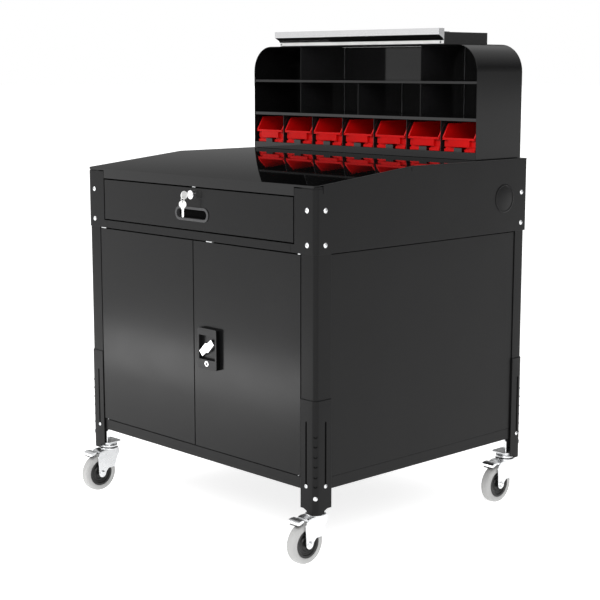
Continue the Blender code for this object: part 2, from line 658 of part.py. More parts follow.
# Runners: channels the drawer box hangs in, from the case's front corner to its back
for label, side in (("l", -1), ("r", 1)):
    wall = RIGHT - DRAWER_MARGIN - 0.0025
    reach = RIGHT - BOX_MARGIN + FIT
    profile = [
        (side * wall, 0.790), (side * wall, 0.830), (side * reach, 0.830), (side * reach, 0.8285),
        (side * (wall - 0.0015), 0.8285), (side * (wall - 0.0015), 0.7915), (side * reach, 0.7915),
        (side * reach, 0.790),
    ]
    plate("drawer_runner_" + label, [profile], "XZ", FRONT + 0.016, REAR - 0.001, ZINC)

# ---------------------------------------------------------------- riser
r_left, r_right = -RISER_WIDE / 2, RISER_WIDE / 2
base = Z_DECK + FIT


def arch(grow):
    """Open arch of the riser, shrunk inward by grow, from its left foot round to its right foot."""
    radius = RISER_RADIUS - grow
    left = (r_left + RISER_RADIUS, RISER_TOP - RISER_RADIUS)
    right = (r_right - RISER_RADIUS, RISER_TOP - RISER_RADIUS)
    points = [(r_left + grow, base)]
    points += arc(left, radius, 180, 90, 10)
    points += arc(right, radius, 90, 0, 10)
    points.append((r_right - grow, base))
    return points


plate("riser_shell", [arch(0.0) + list(reversed(arch(PANEL)))], "XZ", R_FRONT, R_REAR, BLACK)
back_arch = arch(PANEL + FIT)
back_arch[0] = (back_arch[0][0], base + FIT)
back_arch[-1] = (back_arch[-1][0], base + FIT)
plate("riser_back", [back_arch], "XZ", R_REAR - 0.0026, R_REAR - 0.0014, BLACK)

in_left, in_right = r_left + PANEL + FIT, r_right - PANEL - FIT
in_rear = R_REAR - 0.0030
in_front = R_FRONT + 0.0035
lip_front = R_FRONT + 0.0015
lip_rear = lip_front + PANEL


def comb(name, shelf_z, dividers, top_z, lip_depth):
    """Shelf with upright dividers welded on and a turned-down front lip."""
    outline = [(in_left, shelf_z - PANEL), (in_right, shelf_z - PANEL), (in_right, shelf_z)]
    for x in sorted(dividers, reverse=True):
        half = PANEL / 2
        outline += [(x + half, shelf_z), (x + half, top_z), (x - half, top_z), (x - half, shelf_z)]
    outline.append((in_left, shelf_z))
    shelf = plate(name, [outline], "XZ", in_front, in_rear, BLACK)
    fold = [
        (lip_front, shelf_z), (lip_front, shelf_z - lip_depth), (lip_rear, shelf_z - lip_depth),
        (lip_rear, shelf_z - PANEL), (in_front + 0.0005, shelf_z - PANEL),
        (in_front + 0.0005, shelf_z),
    ]
    return join(shelf, plate("lip_" + name, [fold], "YZ", in_left, in_right))


UPPER_DIVIDERS = (-0.2262, 0.2262)
MIDDLE_DIVIDERS = (-0.2262, 0.0, 0.2262)
PITCH = (in_right - in_left) / BIN_COUNT
LOWER_DIVIDERS = [in_left + PITCH * k for k in range(1, BIN_COUNT)]
comb("riser_insert_top", SHELF_UPPER, UPPER_DIVIDERS, RISER_TOP - PANEL - FIT, 0.0065)
comb("riser_insert_mid", SHELF_LOWER, MIDDLE_DIVIDERS, SHELF_UPPER - PANEL - FIT, 0.0080)
low = comb("riser_insert_low", BIN_FLOOR, LOWER_DIVIDERS, SHELF_LOWER - PANEL - FIT,
           BIN_FLOOR - base - FIT)
BIN_X = [in_left + PITCH * (k + 0.5) for k in range(BIN_COUNT)]
for k, x in enumerate(BIN_X):
    tab = block(f"stop_{k + 1}", (x - 0.013, lip_front, BIN_FLOOR - 0.002),
                (x + 0.013, lip_rear, TAB_TOP))
    join(low, tab)


# ---------------------------------------------------------------- bins
def hopper(k, x):
    """Open bin with a low front, sloped sides and a channel underneath that clears the stop."""
    half = BIN_WIDE / 2
    front, rear = R_FRONT + 0.0035, R_FRONT + 0.0035 + BIN_DEEP
    low_z = BIN_FLOOR + FIT
    step = 0.0115
    profile = [
        (front + 0.006, low_z), (rear - 0.004, low_z), (rear, BIN_TOP), (front + 0.022, BIN_TOP),
        (front, BIN_LIP), (front, low_z + step + 0.003), (front + 0.006, low_z + step),
    ]
    shell = plate(f"bin_{k}", [profile], "YZ", x - half, x + half, RED)
    space = [
        (front + 0.006 + BIN_WALL, low_z + step + BIN_WALL),
        (rear - 0.004 - BIN_WALL, low_z + step + BIN_WALL),
        (rear - BIN_WALL, BIN_TOP + 0.02), (front + BIN_WALL, BIN_TOP + 0.02),
        (front + BIN_WALL, low_z + step + 0.0045),
    ]
    inside = plate(f"cut_bin_{k}", [space], "YZ", x - half + BIN_WALL, x + half - BIN_WALL)
    way = block(f"cut_way_{k}", (x - 0.016, front - 0.01, low_z - 0.01),
                (x + 0.016, rear + 0.01, low_z + step - 0.0005))
    return cut(shell, inside, way)


for k, x in enumerate(BIN_X, start=1):
    hopper(k, x)

# ---------------------------------------------------------------- work light on the riser
LIGHT_L, LIGHT_R = -0.3145, 0.3020
light_base = RISER_TOP + FIT
light_top = 1.2400
visor_top = 1.2495
visor_low = 1.2195
strip_y = R_FRONT + 0.0075
lamp_rear = R_REAR - 0.001
housing = block("light_housing", (LIGHT_L, strip_y, light_base), (LIGHT_R, lamp_rear, light_top), BLACK)
cut(housing, block("cut_lamp", (LIGHT_L + 0.008, strip_y - 0.01, light_base + 0.0015),
                   (LIGHT_R - 0.008, strip_y + 0.060, light_top - 0.0035)))
block("light_lens", (LIGHT_L + 0.0005, strip_y - 0.0018, light_base + 0.0010),
      (LIGHT_R - 0.0005, strip_y - FIT, visor_low - FIT), LENS)

# Visor: folded sheet hood with a lip, a kinked underside, a flange over the housing and two cheeks
fold = 0.0012
lip_y = R_FRONT - 0.0145
back_y = strip_y - FIT
hood_outside = [
    (back_y, visor_top), (lip_y, visor_top), (lip_y, 1.2330), (strip_y - 0.0069, 1.2255),
    (strip_y - 0.0022, visor_low), (back_y, visor_low),
]
hood_inside = [
    (back_y, light_top + FIT), (strip_y + 0.020, light_top + FIT),
    (strip_y + 0.020, light_top + FIT + fold), (back_y - fold, light_top + FIT + fold),
    (back_y - fold, visor_low + 0.0008), (strip_y - 0.0063, 1.2266), (lip_y + fold, 1.2339),
    (lip_y + fold, visor_top - fold), (back_y, visor_top - fold),
]
hood = plate("light_visor", [hood_outside + hood_inside], "YZ", LIGHT_L, LIGHT_R, ALUMINIUM)
for label, edge in (("l", LIGHT_L), ("r", LIGHT_R - fold)):
    join(hood, plate("cheek_" + label, [hood_outside], "YZ", edge, edge + fold))
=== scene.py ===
"""Looks of the mobile shop desk: materials for its CAD parts, finer casters, bins, keys and
fastenings, and a white studio."""

import math

import bmesh
import bpy
from mathutils import Matrix, Vector


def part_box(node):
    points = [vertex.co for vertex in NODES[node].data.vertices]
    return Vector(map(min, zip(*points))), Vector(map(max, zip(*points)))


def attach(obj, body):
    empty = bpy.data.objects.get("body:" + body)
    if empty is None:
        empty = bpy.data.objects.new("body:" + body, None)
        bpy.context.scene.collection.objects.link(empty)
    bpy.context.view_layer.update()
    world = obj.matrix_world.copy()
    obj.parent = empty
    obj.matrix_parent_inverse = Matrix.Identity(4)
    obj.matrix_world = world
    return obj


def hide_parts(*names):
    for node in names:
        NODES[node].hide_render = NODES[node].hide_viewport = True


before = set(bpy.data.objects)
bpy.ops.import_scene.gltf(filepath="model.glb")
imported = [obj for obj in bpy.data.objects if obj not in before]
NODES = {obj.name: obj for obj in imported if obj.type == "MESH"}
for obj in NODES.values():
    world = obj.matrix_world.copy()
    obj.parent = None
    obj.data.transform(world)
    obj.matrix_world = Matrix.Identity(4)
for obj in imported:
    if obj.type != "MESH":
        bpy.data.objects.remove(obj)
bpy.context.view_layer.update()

# Studio levels, and the walls' brightness as a plane over the direction
FLOOR_GLOW = 0.80
FLOOR_RADIUS = 90.0
CEILING = 0.80
WALL_TO_RIGHT, WALL_TO_REAR, WALL_LEVEL = 0.20, -0.45, 0.66

CORNERS = {"fl": (-1, -1), "fr": (1, -1), "bl": (-1, 1), "br": (1, 1)}
POST_LOW, POST_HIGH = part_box("post_fl")[0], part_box("post_br")[1]
FRONT = POST_LOW.y
RIGHT, REAR = POST_HIGH.x, POST_HIGH.y
CASE_LOW, CASE_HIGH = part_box("desk_case")
FACE = CASE_LOW.y


# ---------------------------------------------------------------- materials
def principled(name, colour, roughness, metallic=0.0, specular=0.5):
    """Principled material with its plain values on the shader's own sockets."""
    mat = bpy.data.materials.new(name)
    mat.use_nodes = True
    shader = mat.node_tree.nodes["Principled BSDF"]
    shader.inputs["Base Color"].default_value = (*colour, 1.0)
    shader.inputs["Roughness"].default_value = roughness
    shader.inputs["Metallic"].default_value = metallic
    shader.inputs["Specular IOR Level"].default_value = specular
    return mat, mat.node_tree.nodes, mat.node_tree.links, shader


def noise(nodes, links, scale, detail=2.0):
    """Noise in object space; scale is in features per metre."""
    place = nodes.new("ShaderNodeTexCoord")
    texture = nodes.new("ShaderNodeTexNoise")
    texture.inputs["Scale"].default_value = scale
    texture.inputs["Detail"].default_value = detail
    links.new(place.outputs["Object"], texture.inputs["Vector"])
    return texture.outputs["Fac"]


def spread(nodes, links, value, low, high):
    """Maps a noise value to a range."""
    node = nodes.new("ShaderNodeMapRange")
    node.inputs["From Min"].default_value = 0.25
    node.inputs["From Max"].default_value = 0.75
    node.inputs["To Min"].default_value = low
    node.inputs["To Max"].default_value = high
    links.new(value, node.inputs["Value"])
    return node.outputs["Result"]


def blend_colours(nodes, links, value, first, second):
    """Blends two colours by a noise value."""
    ramp = nodes.new("ShaderNodeValToRGB")
    ramp.color_ramp.elements[0].position = 0.3
    ramp.color_ramp.elements[0].color = (*first, 1.0)
    ramp.color_ramp.elements[1].position = 0.7
    ramp.color_ramp.elements[1].color = (*second, 1.0)
    links.new(value, ramp.inputs["Fac"])
    return ramp.outputs["Color"]


def bumps(nodes, links, shader, layers):
    """Chains bump layers of (height value, distance in metres, strength)."""
    last = None
    for value, distance, strength in layers:
        bump = nodes.new("ShaderNodeBump")
        bump.inputs["Distance"].default_value = distance
        bump.inputs["Strength"].default_value = strength
        links.new(value, bump.inputs["Height"])
        if last is not None:
            links.new(last, bump.inputs["Normal"])
        last = bump.outputs["Normal"]
    links.new(last, shader.inputs["Normal"])


def powder_coat(name, shade, roughness, specular, peel=0.10, wave=0.03):
    """Black powder coat: orange peel, cloudy gloss and the slight waviness of thin sheet."""
    base = (shade, shade, shade * 1.04)
    mat, nodes, links, shader = principled(name, base, roughness, specular=specular)
    cloud = noise(nodes, links, 7.0, 4.0)
    fine = noise(nodes, links, 650.0, 2.0)
    lift = (shade * 1.5 + 0.001, shade * 1.5 + 0.001, shade * 1.55 + 0.001)
    links.new(blend_colours(nodes, links, fine, base, lift), shader.inputs["Base Color"])
    links.new(spread(nodes, links, cloud, roughness * 0.85, roughness * 1.15),
              shader.inputs["Roughness"])
    sheet = noise(nodes, links, 3.5, 1.0)
    bumps(nodes, links, shader, [(sheet, 0.002, wave), (fine, 0.0002, peel)])
    return mat


def plated(name, colour, roughness, cloud=0.25, contrast=0.93, metallic=1.0):
    """Plated or anodised metal with a cloudy gloss."""
    mat, nodes, links, shader = principled(name, colour, roughness, metallic=metallic)
    patches = noise(nodes, links, 55.0, 3.0)
    darker = tuple(c * contrast for c in colour)
    links.new(blend_colours(nodes, links, patches, darker, colour), shader.inputs["Base Color"])
    links.new(spread(nodes, links, patches, roughness * (1 - cloud), roughness * (1 + cloud)),
              shader.inputs["Roughness"])
    fine = noise(nodes, links, 900.0, 2.0)
    bumps(nodes, links, shader, [(fine, 0.0001, 0.12)])
    return mat


def moulded(name, colour, roughness, specular=0.5, texture=1400.0, depth=0.15):
    """Moulded plastic or rubber: fine spark-eroded grain and faint colour drift."""
    mat, nodes, links, shader = principled(name, colour, roughness, specular=specular)
    drift = noise(nodes, links, 25.0, 3.0)
    deeper = tuple(c * 0.88 for c in colour)
    links.new(blend_colours(nodes, links, drift, deeper, colour), shader.inputs["Base Color"])
    links.new(spread(nodes, links, drift, roughness * 0.9, roughness * 1.12),
              shader.inputs["Roughness"])
    grain = noise(nodes, links, texture, 2.0)
    bumps(nodes, links, shader, [(grain, 0.0001, depth)])
    return mat


# Copies of one black powder coat: their base shades differ to paint the light and shade on each
# surface, lighter on the riser's insides, darker on the deck and the riser shell.
PANEL = powder_coat("panel_black", 0.0045, 0.19, 0.17)
SIDE = powder_coat("side_black", 0.0042, 0.33, 0.15)
DECK = powder_coat("deck_black", 0.0025, 0.035, 0.30, peel=0.003, wave=0.008)
SHELL = powder_coat("shell_black", 0.0035, 0.12, 0.20, peel=0.010, wave=0.010)
RISER = powder_coat("riser_black", 0.0075, 0.06, 0.40, peel=0.010, wave=0.010)
# A lighter grey coat for painted highlights.
HIGHLIGHT_GREY = powder_coat("painted_highlight_grey", 0.0900, 0.30, 0.40)
FRAME = powder_coat("frame_black", 0.0042, 0.34, 0.14)
ZINC = plated("zinc_plate", (0.80, 0.81, 0.82), 0.27)
CHROME = plated("chrome_plate", (0.90, 0.90, 0.91), 0.12, cloud=0.15)
NICKEL = plated("satin_nickel", (0.93, 0.93, 0.92), 0.40, cloud=0.15, contrast=0.96,
                metallic=0.30)
ALUMINIUM = plated("bright_aluminium", (0.82, 0.82, 0.83), 0.11, cloud=0.10, contrast=0.985)
STEEL_DARK = plated("dark_steel", (0.20, 0.20, 0.21), 0.35)
RED = moulded("red_polypropylene", (0.66, 0.0030, 0.0030), 0.42, specular=0.16)
RUBBER = moulded("grey_rubber", (0.47, 0.47, 0.465), 0.60, specular=0.3, texture=900.0,
                 depth=0.25)
HUB = moulded("black_nylon", (0.010, 0.010, 0.010), 0.38, specular=0.4)
# Matt black for painted shade: in gaps, slots, hollows, key holes and under the visor.
PAINTED_SHADE = moulded("painted_shade_black", (0.0015, 0.0015, 0.0015), 0.85, specular=0.05)
PLASTIC = moulded("black_abs", (0.007, 0.007, 0.0075), 0.33, specular=0.25)
RIM = moulded("grey_abs", (0.050, 0.050, 0.052), 0.40, specular=0.4)
LENS = moulded("opal_lens", (0.74, 0.74, 0.73), 0.30, specular=0.3, texture=500.0, depth=0.05)


# ---------------------------------------------------------------- mesh building
AXES = {"XY": (0, 1, 2), "XZ": (0, 2, 1), "YZ": (1, 2, 0)}


def prism(bm, outline, plane, low, high):
    """Adds an extruded outline. plane names the world axes of the outline's two numbers."""
    a, b, c = AXES[plane]
    rings = []
    for level in (low, high):
        ring = []
        for p, q in outline:
            spot = [0.0, 0.0, 0.0]
            spot[a], spot[b], spot[c] = p, q, level
            ring.append(bm.verts.new(spot))
        rings.append(ring)
    count = len(outline)
    faces = [bm.faces.new(rings[0]), bm.faces.new(list(reversed(rings[1])))]
    for i in range(count):
        j = (i + 1) % count
        faces.append(bm.faces.new((rings[0][j], rings[0][i], rings[1][i], rings[1][j])))
    bmesh.ops.recalc_face_normals(bm, faces=faces)
    return faces


def slab(bm, low, high):
    """Adds a rectangular block between two corners."""
    outline = [(low[0], low[1]), (high[0], low[1]), (high[0], high[1]), (low[0], high[1])]
    return prism(bm, outline, "XY", low[2], high[2])


def lathe(bm, profile, centre, axis, steps=32):
    """Adds a closed solid of revolution from (radius, height) points."""
    turn = Vector(axis).to_track_quat("Z", "Y").to_matrix()
    rings = []
    for radius, height in profile:
        if radius < 1e-7:
            rings.append([bm.verts.new(Vector(centre) + turn @ Vector((0, 0, height)))])
            continue
        ring = []
        for k in range(steps):
            angle = 2 * math.pi * k / steps
            spot = Vector((radius * math.cos(angle), radius * math.sin(angle), height))
            ring.append(bm.verts.new(Vector(centre) + turn @ spot))
        rings.append(ring)
    closed = len(rings[0]) > 1 or len(rings[-1]) > 1
    pairs = list(zip(rings, rings[1:]))
    if closed:
        pairs.append((rings[-1], rings[0]))
    faces = []
    for one, two in pairs:
        for k in range(steps):
            j = (k + 1) % steps
            if len(one) == 1 and len(two) == 1:
                break
            if len(one) == 1:
                faces.append(bm.faces.new((one[0], two[k], two[j])))
            elif len(two) == 1:
                faces.append(bm.faces.new((one[k], two[0], one[j])))
            else:
                faces.append(bm.faces.new((one[k], two[k], two[j], one[j])))
    bmesh.ops.recalc_face_normals(bm, faces=faces)
    return faces


def tube(bm, points, radius, sides=8, closed=False):
    """Adds a round wire along points."""
    points = [Vector(p) for p in points]
    rings = []
    for i, here in enumerate(points):
        before = points[i - 1] if i or closed else here
        after = points[(i + 1) % len(points)] if i + 1 < len(points) or closed else here
        turn = (after - before).to_track_quat("Z", "Y").to_matrix()
        ring = []
        for k in range(sides):
            angle = 2 * math.pi * k / sides
            ring.append(bm.verts.new(here + turn @ Vector(
                (radius * math.cos(angle), radius * math.sin(angle), 0.0))))
        rings.append(ring)
    faces = []
    pairs = list(zip(rings, rings[1:])) + ([(rings[-1], rings[0])] if closed else [])
    for one, two in pairs:
        shift = min(range(sides), key=lambda s: (two[s].co - one[0].co).length)
        for k in range(sides):
            j = (k + 1) % sides
            faces.append(bm.faces.new(
                (one[k], one[j], two[(j + shift) % sides], two[(k + shift) % sides])))
    if not closed:
        faces += [bm.faces.new(rings[0]), bm.faces.new(rings[-1])]
    bmesh.ops.recalc_face_normals(bm, faces=faces)
    return faces


def arc(centre, radius, start, end, steps):
    """Points along an arc; the angles are in degrees."""
    found = []
    for i in range(steps + 1):
        angle = math.radians(start + (end - start) * i / steps)
        found.append((centre[0] + radius * math.cos(angle), centre[1] + radius * math.sin(angle)))
    return found


def piece(name, bm, mat, body, replaces=(), bevel=0.0, angle=35.0):
    """Finishes a mesh as a named piece that rides on a body."""
    for face in bm.faces:
        face.smooth = True
    for edge in bm.edges:
        if len(edge.link_faces) == 2:
            edge.smooth = edge.calc_face_angle(0.0) < math.radians(angle)
    mesh = bpy.data.meshes.new(name)
    bm.to_mesh(mesh)
    bm.free()
    mesh.materials.append(mat)
    obj = bpy.data.objects.new(name, mesh)
    bpy.context.scene.collection.objects.link(obj)
    if bevel:
        add_bevel(obj, bevel)
    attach(obj, body)
    if replaces:
        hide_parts(*replaces)
    return obj


def add_bevel(obj, width):
    """Rounds the sharp edges of an object."""
    bevel = obj.modifiers.new("edges", "BEVEL")
    bevel.width = width
    bevel.segments = 2
    bevel.limit_method = "ANGLE"
    bevel.angle_limit = math.radians(38.0)
    bevel.harden_normals = True


def dress(node, mat, width=0.0):
    """Gives a CAD node its material, and rounds its edges when it has a width."""
    obj = NODES[node]
    for slot in obj.material_slots:
        slot.material = mat
    mesh = obj.data
    if "custom_normal" in mesh.attributes:
        mesh.attributes.remove(mesh.attributes["custom_normal"])
    mesh.polygons.foreach_set("use_smooth", [True] * len(mesh.polygons))
    weld = obj.modifiers.new("weld", "WELD")
    weld.merge_threshold = 0.00002
    flat = obj.modifiers.new("flats", "DECIMATE")
    flat.decimate_type = "DISSOLVE"
    flat.angle_limit = math.radians(1.5)
    if width:
        add_bevel(obj, width)
    even = obj.modifiers.new("normals", "WEIGHTED_NORMAL")
    even.keep_sharp = True


def blacken(node, chosen):
    """Paints chosen faces of a CAD node matt black as painted shade: the insides of gaps and
    shaded sides.
    """
    mesh = NODES[node].data
    mesh.materials.append(PAINTED_SHADE)
    for face in mesh.polygons:
        if chosen(face.normal, face.center):
            face.material_index = 1


# ---------------------------------------------------------------- CAD nodes that stay
for corner in CORNERS:
    dress("post_" + corner, FRAME, 0.0004)
    dress("leg_" + corner, FRAME, 0.0005)
    dress("caster_plate_" + corner, ZINC, 0.0004)
for node in ("desk_case", "desk_rail"):
    dress(node, SIDE, 0.0004)
dress("desk_top", DECK, 0.0004)
for node in ("cabinet_side_l", "cabinet_side_r", "cabinet_back", "cabinet_floor"):
    dress(node, SIDE, 0.0003)
for node in ("door_l", "door_r", "drawer_front"):
    dress(node, PANEL, 0.0005)
dress("drawer_box", SIDE, 0.0003)
dress("riser_shell", SHELL, 0.0003)
for node in ("riser_back", "riser_insert_top", "riser_insert_mid",
             "riser_insert_low"):
    dress(node, RISER, 0.0003)
dress("light_housing", RISER, 0.0004)
dress("light_lens", LENS, 0.0005)
dress("light_visor", ALUMINIUM, 0.0003)
dress("latch_housing", PLASTIC, 0.0006)
dress("latch_handle", CHROME, 0.0010)
dress("drawer_pull", RIM, 0.0006)
dress("drawer_lock", CHROME, 0.0005)
for node in ("latch_rod_up", "latch_rod_down", "drawer_runner_l", "drawer_runner_r"):
    dress(node, ZINC, 0.0003)


TRAY_LOW, TRAY_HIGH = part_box("latch_housing")
DOOR_LOW, DOOR_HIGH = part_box("door_r")
RISER_TOP_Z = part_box("riser_shell")[1].z
# Painted shade: matt black on the upward faces of the doors, the drawer front and the cabinet
# floor, under the top of the riser shell, on the desk case's low upward faces and on the latch
# tray's right side.
for node in ("door_l", "door_r", "drawer_front", "cabinet_floor"):
    blacken(node, lambda normal, centre: normal.z > 0.9)
blacken("riser_shell",
        lambda normal, centre: normal.z < -0.9 and centre.z > RISER_TOP_Z - 0.010)
blacken("desk_case",
        lambda normal, centre: normal.z > 0.9 and centre.z < DOOR_HIGH.z + 0.030)
blacken("latch_housing",
        lambda normal, centre: normal.x > 0.9 and centre.x > TRAY_HIGH.x - 0.002)


# ---------------------------------------------------------------- fastenings
def dome(bm, at, normal, radius=0.0048, height=0.0026, socket=0.0018):
    """Adds a dome-headed screw with a washer flange and a round drive recess."""
    profile = [(0.0, height - 0.0014), (socket * 0.8, height - 0.0013), (socket, height - 0.0003)]
    for k in range(5):
        angle = math.radians(72 - 16 * k)
        profile.append((radius * 0.9 * math.cos(angle), height * math.sin(angle) + 0.0002))
    profile += [(radius * 0.92, 0.0005), (radius, 0.0004), (radius, 0.0), (0.0, 0.0)]
    lathe(bm, profile, at, normal, 20)


def inward(side, end, across, deep):
    """World x, y measured inward from a corner of the cabinet."""
    x = side * (RIGHT - across)
    y = FRONT + deep if end < 0 else REAR - deep
    return x, y


SCREW_ROWS = (0.8305, 0.7512)
SCREW = (0.0062, 0.0031, 0.0024)
SCREW_IN = 0.027
SCREW_DEEP_FRONT, SCREW_DEEP_REAR = 0.029, 0.019
PROUD = FRONT - FACE
bm = bmesh.new()
for side, end in CORNERS.values():
    for z in SCREW_ROWS:
        x, y = inward(side, end, SCREW_IN, -PROUD)
        dome(bm, (x, y, z), (0, end, 0), *SCREW)
        deep = SCREW_DEEP_FRONT if end < 0 else SCREW_DEEP_REAR
        x, y = inward(side, end, -PROUD, deep)
        dome(bm, (x, y, z), (side, 0, 0), *SCREW)
piece("desk_screws", bm, ZINC, "cart")

LEG_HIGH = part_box("leg_fr")[1]
LEG_OUT = RIGHT - LEG_HIGH.x
SLOT_IN = 0.029
SLOT_DEEP_FRONT, SLOT_DEEP_REAR = 0.031, 0.0165
BOLT_Z, BOLT_RADIUS = 0.1848, 0.0050
bm = bmesh.new()
for side, end in CORNERS.values():
    x, y = inward(side, end, SLOT_IN, LEG_OUT)
    dome(bm, (x, y, BOLT_Z), (0, end, 0), BOLT_RADIUS)
    x, y = inward(side, end, LEG_OUT, SLOT_DEEP_FRONT if end < 0 else SLOT_DEEP_REAR)
    dome(bm, (x, y, BOLT_Z), (side, 0, 0), BOLT_RADIUS)
piece("leg_bolts", bm, ZINC, "cart")

BEND = 0.010
CORNER_BOLT_Z = 0.159
PIP_RADIUS = 0.0042
PIPS = (0.307, 0.284, 0.259, 0.236, 0.2105, 0.188)
for corner, (side, end) in CORNERS.items():
    out = Vector((side, end, 0.0)).normalized()
    hub_x, hub_y = inward(side, end, BEND, BEND)
    surface = Vector((hub_x, hub_y, 0.0)) + out * (BEND - LEG_OUT)
    bm = bmesh.new()
    dome(bm, (surface.x, surface.y, CORNER_BOLT_Z), out, 0.0052, 0.0028, 0.0)
    piece("corner_bolt_" + corner, bm, ZINC, "leg_" + corner)
    bm = bmesh.new()
    across = Vector((-out.y, out.x, 0.0))
    bend = BEND - LEG_OUT
    for z in PIPS:
        path = []
        for k in range(9):
            angle = math.radians(195 + 150 * k / 8)
            offset = PIP_RADIUS * math.cos(angle)
            sag = bend - math.sqrt(bend ** 2 - offset ** 2)
            path.append(surface - out * (sag + 0.0003) + across * offset
                        + Vector((0, 0, z + 0.0018 + PIP_RADIUS * math.sin(angle))))
        tube(bm, path, 0.0012, 6)
    # The arc marks on the leg's bend are matt black: painted shade.
    piece("leg_marks_" + corner, bm, PAINTED_SHADE, "leg_" + corner)

# Matt black strips at the bottom of the legs' slots: painted shade
SLOT_LOW, SLOT_HIGH, SLOT_HALF = 0.1895, LEG_HIGH.z - 0.0515, 0.0025
for corner, (side, end) in CORNERS.items():
    bm = bmesh.new()
    x, y = inward(side, end, SLOT_IN, 0.0)
    rows = sorted((y + end * 0.0006, y + end * 0.0011))
    slab(bm, (x - SLOT_HALF, rows[0], SLOT_LOW), (x + SLOT_HALF, rows[1], SLOT_HIGH))
    x, y = inward(side, end, 0.0, SLOT_DEEP_FRONT if end < 0 else SLOT_DEEP_REAR)
    rows = sorted((x + side * 0.0006, x + side * 0.0011))
    slab(bm, (rows[0], y - SLOT_HALF, SLOT_LOW), (rows[1], y + SLOT_HALF, SLOT_HIGH))
    piece("slot_shade_" + corner, bm, PAINTED_SHADE, "leg_" + corner)

# Blanking plugs in the sides of the desk case
PLUG_Y, PLUG_Z = REAR - 0.0886, 0.818
for label, side in (("l", -1), ("r", 1)):
    bm = bmesh.new()
    profile = [(0.0, 0.0006), (0.0290, 0.0006), (0.0305, 0.0002), (0.0325, 0.0002),
               (0.0340, 0.0016), (0.0360, 0.0016), (0.0372, 0.0008), (0.0372, 0.0), (0.0, 0.0)]
    wall = CASE_HIGH.x * side
    lathe(bm, profile, (wall, PLUG_Y, PLUG_Z), (side, 0, 0), 48)
    piece("side_plug_" + label, bm, SIDE, "cart")

# Hinge pins, seen in the gaps above and below the doors
HINGE_X, HINGE_Y = 0.3775, FRONT + 0.005
bm = bmesh.new()
for side in (-1, 1):
    for low, high in ((DOOR_HIGH.z + 0.0001, CASE_LOW.z - 0.0001),
                      (DOOR_LOW.z - 0.0022, DOOR_LOW.z - 0.0001)):
        profile = [(0.0, low), (0.0024, low), (0.0028, low + 0.0004), (0.0028, high - 0.0004),
                   (0.0024, high), (0.0, high)]
        lathe(bm, profile, (side * HINGE_X, HINGE_Y, 0.0), (0, 0, 1), 16)
piece("hinge_pins", bm, ZINC, "cart")

# Ends of the hinge leaves and of the rod guide, under the edge of the desk case
LEAVES = ((-0.3860, -0.3650), (0.3790, 0.3865), (0.0500, 0.0720))
bm = bmesh.new()
for near, far in LEAVES:
    slab(bm, (near, FRONT + 0.0006, DOOR_HIGH.z + 0.0008),
         (far, FRONT + 0.0022, CASE_LOW.z - 0.0004))
piece("hinge_leaves", bm, ZINC, "cart", bevel=0.0002)

bm = bmesh.new()
lathe(bm, [(0.0, 0.2024), (0.0022, 0.2024), (0.0028, 0.2030), (0.0028, 0.2060), (0.0, 0.2060)],
      (-0.050, FRONT + 0.010, 0.0), (0, 0, 1), 16)
piece("left_door_bolt", bm, ZINC, "door_l")


# ---------------------------------------------------------------- casters
WHEEL_LEAD = 0.036
CHEEK_IN, CHEEK_OUT = 0.0170, 0.0192
BOSS_HEIGHT = 0.0009
WASHER = 0.0008
AXLE_RADIUS = 0.0040


def tyre_and_hub(corner):
    """Tyre with a crowned tread, and a black hub with concentric steps on both faces."""
    low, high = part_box("caster_wheel_" + corner)
    centre = (low + high) / 2
    outer = (high.z - low.z) / 2
    half = 0.0130
    bm = bmesh.new()
    profile = []
    crown = ((0.0, 0.0), (0.35, 0.0001), (0.60, 0.0007), (0.78, 0.0019), (0.90, 0.0040),
             (0.97, 0.0065), (1.0, 0.0095), (1.0, 0.0125), (0.965, 0.0140))
    for share, drop in crown:
        profile.append((outer - drop, half * share))
    rim_r = outer - 0.0150
    profile.append((rim_r, half * 0.90))
    mirrored = [(r, -h) for r, h in reversed(profile[1:])]
    lathe(bm, profile + mirrored, centre, (1, 0, 0), 72)
    piece("tyre_" + corner, bm, RUBBER, "wheel_" + corner,
          replaces=("caster_wheel_" + corner,), angle=50)

    bm = bmesh.new()
    bore = 0.0046
    side = [(bore, 0.0150), (0.0085, 0.0150), (0.0092, 0.0146), (0.0096, 0.0085),
            (0.0130, 0.0080), (0.0142, 0.0098), (0.0165, 0.0098), (0.0172, 0.0086),
            (0.0195, 0.0070), (0.0225, 0.0068), (0.0238, 0.0082), (0.0268, 0.0086),
            (0.0280, 0.0108), (0.0290, 0.0122), (rim_r - 0.0008, 0.0124), (rim_r, 0.0116)]
    other = [(r, -h) for r, h in reversed(side)]
    lathe(bm, side + other, centre, (1, 0, 0), 56)
    piece("hub_" + corner, bm, HUB, "wheel_" + corner, angle=30)


